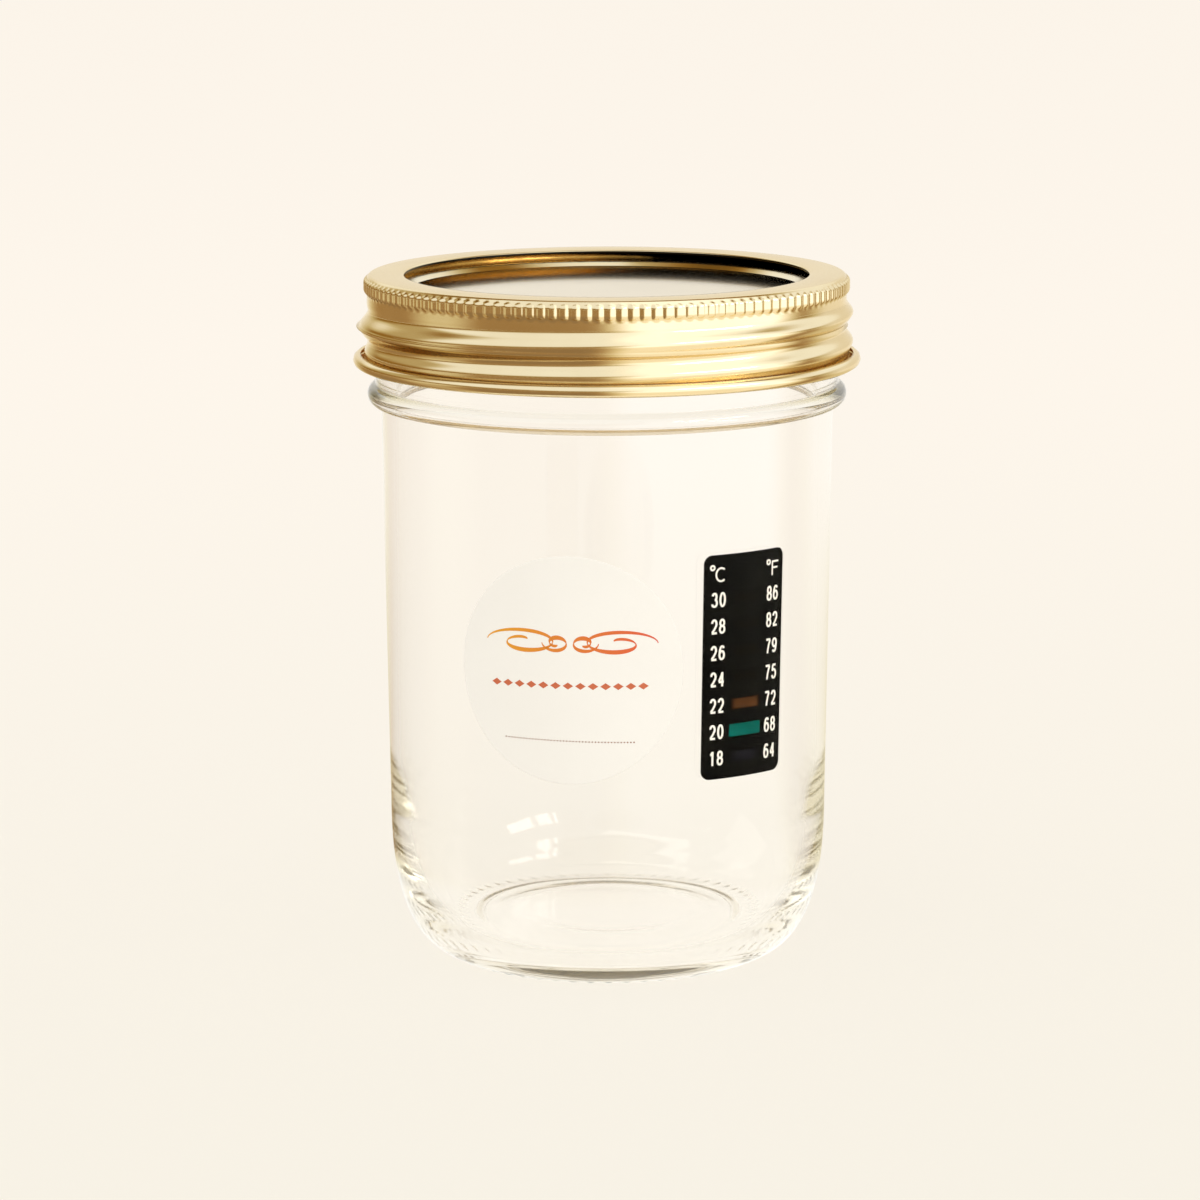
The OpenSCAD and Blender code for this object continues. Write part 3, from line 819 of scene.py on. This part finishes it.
# The scroll on the label: four pen curls that swell in their bends, printed in amber that turns
# to red towards the right.
def ribbon(flat, points, widths, out, thickness):
    """A pen stroke along the points, as a closed thin band of changing width."""
    sections = []
    for i, (u, v) in enumerate(points):
        before, after = points[max(i - 1, 0)], points[min(i + 1, len(points) - 1)]
        du, dv = after[0] - before[0], after[1] - before[1]
        size = math.hypot(du, dv)
        nu, nv = -dv / size * widths[i] / 2, du / size * widths[i] / 2
        sections.append([
            flat.verts.new((u + s * nu, v + s * nv, out + h))
            for s, h in ((1, 0), (-1, 0), (-1, thickness), (1, thickness))
        ])
    for a, b in zip(sections, sections[1:]):
        for k in range(4):
            flat.faces.new([a[k], a[(k + 1) % 4], b[(k + 1) % 4], b[k]])
    flat.faces.new(sections[0][::-1])
    flat.faces.new(sections[-1])


print_lift, print_t = paper_lift + paper_t + 0.004, 0.01
scroll_u, scroll_v, curl_turns, curl_points = 0.3, 4.9, 1.35, 60
flat = bmesh.new()
for side in (-1, 1):
    for size, height, middle_u, upright in ((7.1, 2.3, 8.3, 1), (2.5, 1.5, 2.5, -1)):
        points, widths = [], []
        for i in range(curl_points + 1):
            t = i / curl_points
            swirl = math.tau * curl_turns * t
            pull = (1 - t) ** 0.8
            reach = size * (0.15 + 0.85 * pull)
            rise = upright * height * (0.25 + 0.75 * pull)
            points.append((scroll_u + side * (middle_u + reach * math.cos(swirl)),
                           scroll_v + rise * math.sin(swirl)))
            widths.append(0.16 + 0.62 * abs(math.sin(swirl)) * math.sin(math.pi * t) ** 0.5)
        ribbon(flat, points, widths, print_lift, print_t)
bmesh.ops.recalc_face_normals(flat, faces=flat.faces)
scroll = piece_from("printed_scroll", flat)
wrapped(scroll.data, label_turn, label_z)

ink, graph = new_material("amber to red ink")
place = graph.add("ShaderNodeTexCoord").outputs["Object"]
x = graph.add("ShaderNodeSeparateXYZ", vector=place).outputs["X"]
to_right = graph.put("DIVIDE", graph.put("ADD", x, 0.0225), 0.031)
tone = graph.ramp(to_right, (0, (0.83, 0.39, 0.01)), (0.45, (0.76, 0.22, 0.02)),
                  (1, (0.72, 0.085, 0.03)))
graph.surface(graph.add("ShaderNodeBsdfPrincipled", base_color=tone, roughness=0.5))
scroll.data.materials.append(ink)
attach(scroll, "glass")


# The row of small lozenges under the scroll, printed in brick red, and under it the dotted line
# to write on, in brown-grey.
def printed_row(name, corners, radius, stretch, count, start, end, material):
    """A row of small flat marks, put one after another on a line by a Geometry Nodes tree."""
    tree, graph, sizes = sized_tree(name, {
        "Count": count,
        "Mark radius": radius,
        "Mark stretch": stretch,
        "Thickness": print_t,
        "Material": material,
    }, ends=("OUTPUT",))
    given = graph.nodes.new("NodeGroupInput").outputs
    height = print_lift + print_t / 2
    line = graph.add("GeometryNodeMeshLine", count=given["Count"],
                     start_location=(*start, height), offset=(*end, height))
    line.mode = "END_POINTS"
    mark = graph.add("GeometryNodeMeshCylinder", vertices=corners, radius=given["Mark radius"],
                     depth=given["Thickness"])
    wide = graph.add("ShaderNodeCombineXYZ", x=given["Mark stretch"], y=1, z=1)
    drawn = graph.add("GeometryNodeInstanceOnPoints", points=line.outputs[0],
                      instance=mark.outputs["Mesh"], scale=wide.outputs[0])
    end_tree(graph, drawn, given["Material"])
    row = placed(name, bpy.data.meshes.new(name))
    finished(row, tree, sizes)
    wrapped(row.data, label_turn, label_z)
    return row


red_ink = speckled("brick red ink", (0.56, 0.115, 0.04), (0.66, 0.17, 0.07), 1500, 0.5)
lozenges = printed_row("printed_lozenges", 4, 0.62, 1.5, 13, (-13.3, -2.7), (13.1, -2.7), red_ink)
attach(lozenges, "glass")

grey_ink = speckled("brown-grey ink", (0.24, 0.09, 0.05), (0.34, 0.14, 0.08), 1500, 0.5)
dots = printed_row(
    "printed_dotted_line", 10, 0.14, 1.0, 42, (-11.6, -12.45), (11.45, -12.75), grey_ink)
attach(dots, "glass")

# The thermometer strip's black layer: ink under the film, cut to 17.6 x 40.2 mm with rounded
# corners. It is stuck on the glass to the right of the label.
strip_turn, strip_z, strip_lean = 36.6, 58.9, 0.5
strip_w, strip_h, strip_corner = 17.6, 40.2, 1.6
black_lift, black_t, window_lift, window_t, film_lift, film_t = 0.09, 0.08, 0.19, 0.06, 0.27, 0.12


def rounded(width, height, radius, per_side, per_corner):
    """Outline of a rectangle with rounded corners, anticlockwise from its right side."""
    found = []
    for sx, sy, start in ((1, 1, 0), (-1, 1, 90), (-1, -1, 180), (1, -1, 270)):
        found += arc(sx * (width / 2 - radius), sy * (height / 2 - radius), radius,
                     start, start + 90, per_corner)
    dense = []
    for a, b in zip(found, found[1:] + found[:1]):
        dense += rows(a, b, per_side) if math.dist(a, b) > per_side else [a]
    return dense


strip_outline = rounded(strip_w, strip_h, strip_corner, 1.2, 8)
black, graph = new_material("black ink under film")
tone = graph.ramp(noise(graph, 120, 3), (0.35, (0.002, 0.0018, 0.0014)),
                  (0.75, (0.006, 0.0055, 0.004)))
graph.surface(graph.add("ShaderNodeBsdfPrincipled", base_color=tone, roughness=0.5,
                        specular_ior_level=0))
backing = sheet("black_strip", strip_outline, black_lift, black_t, 14)
wrapped(backing.data, strip_turn, strip_z, strip_lean)
backing.data.materials.append(black)
backing.data.shade_smooth()
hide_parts("black_backing")
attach(backing, "glass")

# The strip's film: clear glossy polyester over the whole strip, with its edges pressed down a
# little.
film_material, graph = new_material("clear polyester film")
shell = graph.add(
    "ShaderNodeBsdfPrincipled", base_color=(0.97, 0.97, 0.96), roughness=0.03, ior=1.1,
    transmission_weight=1, normal=bumped(graph, noise(graph, 160), 0.3, 0.00005),
)
graph.surface(clear_to_lamps(graph, shell, (0.95, 0.95, 0.95)))
film = sheet("clear_film", strip_outline, film_lift, film_t, 14, 0.01)
wrapped(film.data, strip_turn, strip_z, strip_lean)
film.data.materials.append(film_material)
film.data.shade_smooth()
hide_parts("thermometer_film")
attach(film, "glass")

# The seven windows of liquid-crystal ink, between the black layer and the film. At room
# temperature the second from the bottom is green, the third faintly brown, and the rest dark.
window_w, window_h, window_pitch, window_u, window_v = 6.8, 2.2, 4.75, 0.2, -2.1
green, dark_window = 1, (0.0045, 0.0036, 0.0022)
colours = [(0.0105, 0.0095, 0.013), (0.0025, 0.125, 0.100), (0.095, 0.037, 0.011)]
colours += [dark_window] * 4
for i, colour in enumerate(colours):
    crystal, graph = new_material(f"liquid crystal window {i + 1}")
    shown, start, dim = noise(graph, 260, 4), 0.2, tuple(c * 0.6 for c in colour)
    if i != green:
        inward = graph.nodes.new("ShaderNodeAttribute")
        inward.attribute_name = "inward"
        shown = graph.put("MULTIPLY", shown, graph.rising(inward.outputs["Fac"], 0, 0.45))
        start, dim = 0, (0.0018, 0.0015, 0.0011)
    tone = graph.ramp(shown, (start, dim), (0.6, tuple(c * 1.15 for c in colour)))
    graph.surface(graph.add("ShaderNodeBsdfPrincipled", base_color=tone, roughness=0.4,
                            specular_ior_level=0))
    window = sheet(f"crystal_window_{i + 1}", rounded(window_w, window_h, 0.2, 0.7, 3),
                   window_lift, window_t, 6)
    edge = window.data.attributes.new("inward", "FLOAT", "POINT")
    for vertex in window.data.vertices:
        to_end, to_side = abs(vertex.co.x) * 2 / window_w, abs(vertex.co.y) * 2 / window_h
        edge.data[vertex.index].value = 1 - max(to_end, to_side)
        vertex.co.x += window_u
        vertex.co.y += window_v + window_pitch * (i - 3)
    wrapped(window.data, strip_turn, strip_z, strip_lean)
    window.data.materials.append(crystal)
    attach(window, "glass")
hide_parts("crystal_windows")


# The two scales on the strip: plain drawn figures in white ink, Celsius on the left of the
# windows and Fahrenheit on their right.
def bow(x, y, across, up, start, end, count=14):
    """Points along an oval stroke, between two angles in degrees."""
    turns = [math.radians(start + (end - start) * i / count) for i in range(count + 1)]
    return [(x + across * math.cos(turn), y + up * math.sin(turn)) for turn in turns]


six = [(0.93, 0.84), (0.8, 0.96), (0.55, 1), (0.28, 0.93), (0.1, 0.72), (0.01, 0.45), (0, 0.3)]
strokes = {
    "0": [bow(0.5, 0.5, 0.5, 0.5, 0, 360, 24)],
    "1": [[(0.12, 0.76), (0.4, 0.86), (0.56, 0.98)], [(0.6, 1.04), (0.6, -0.06)]],
    "2": [bow(0.5, 0.71, 0.48, 0.29, 172, -32) + [(0.5, 0.26), (0.06, 0.04)], [(0, 0), (1.08, 0)]],
    "3": [bow(0.47, 0.75, 0.43, 0.25, 165, -80), bow(0.47, 0.27, 0.53, 0.27, 85, -165)],
    "4": [[(0.72, -0.07), (0.72, 1.03)], [(0.74, 1.0), (0, 0.31)], [(-0.05, 0.28), (1.08, 0.28)]],
    "5": [[(0.16, 1.0), (0.98, 1.0)], [(0.2, 1.0), (0.1, 0.53)],
          bow(0.48, 0.32, 0.52, 0.33, 135, -160)],
    "6": [six, bow(0.5, 0.31, 0.5, 0.31, 0, 360, 20)],
    "7": [[(-0.05, 1.0), (1.02, 1.0)], [(0.98, 0.97), (0.62, 0.55), (0.42, 0.22), (0.34, -0.06)]],
    "8": [bow(0.5, 0.755, 0.43, 0.245, 0, 360, 20), bow(0.5, 0.265, 0.5, 0.265, 0, 360, 20)],
    "9": [[(1 - x, 1 - y) for x, y in six], bow(0.5, 0.69, 0.5, 0.31, 0, 360, 20)],
    "C": [bow(0.5, 0.5, 0.5, 0.5, 48, 312, 24)],
    "F": [[(0, -0.05), (0, 1.0)], [(-0.05, 1.0), (1.0, 1.0)], [(0, 0.53), (0.88, 0.53)]],
    "o": [bow(0.5, 0.5, 0.5, 0.5, 0, 360, 16)],
}
figure_lift, figure_t = 0.175, 0.012


def drawn_figure(flat, name, u, v, width, height, pen):
    """One figure of the scale about a point, as pen strokes of one width within its size."""
    for stroke in strokes[name]:
        line = [(u + (x - 0.5) * (width - pen), v + (y - 0.5) * (height - pen)) for x, y in stroke]
        if len(line) < 4:
            dense = [point for a, b in zip(line, line[1:]) for point in rows(a, b, 0.45)]
            line = dense + [line[-1]]
        ribbon(flat, line, [pen] * len(line), figure_lift, figure_t)


figures = bmesh.new()
scale = ("3086", "2882", "2679", "2475", "2272", "2068", "1864")
top_v, row_pitch, figure_us = 12.09, 4.742, (-6.62, -5.02, 5.42, 7.0)
for i, row in enumerate(scale):
    for name, u in zip(row, figure_us):
        drawn_figure(figures, name, u, top_v - row_pitch * i, 1.32, 2.72, 0.4)
for name, u, v, width, height in (
    ("C", -5.4, 16.57, 2.3, 2.66), ("o", -7.1, 17.85, 1.1, 1.1),
    ("F", 6.8, 16.57, 1.85, 2.66), ("o", 5.1, 17.7, 1.1, 1.1),
):
    drawn_figure(figures, name, u, v, width, height, 0.33)
bmesh.ops.recalc_face_normals(figures, faces=figures.faces)
scale_figures = piece_from("scale_figures", figures)
wrapped(scale_figures.data, strip_turn, strip_z, strip_lean)
scale_figures.data.materials.append(speckled(
    "white scale ink", (0.88, 0.85, 0.78), (0.95, 0.93, 0.87), 1500, 0.5))
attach(scale_figures, "glass")
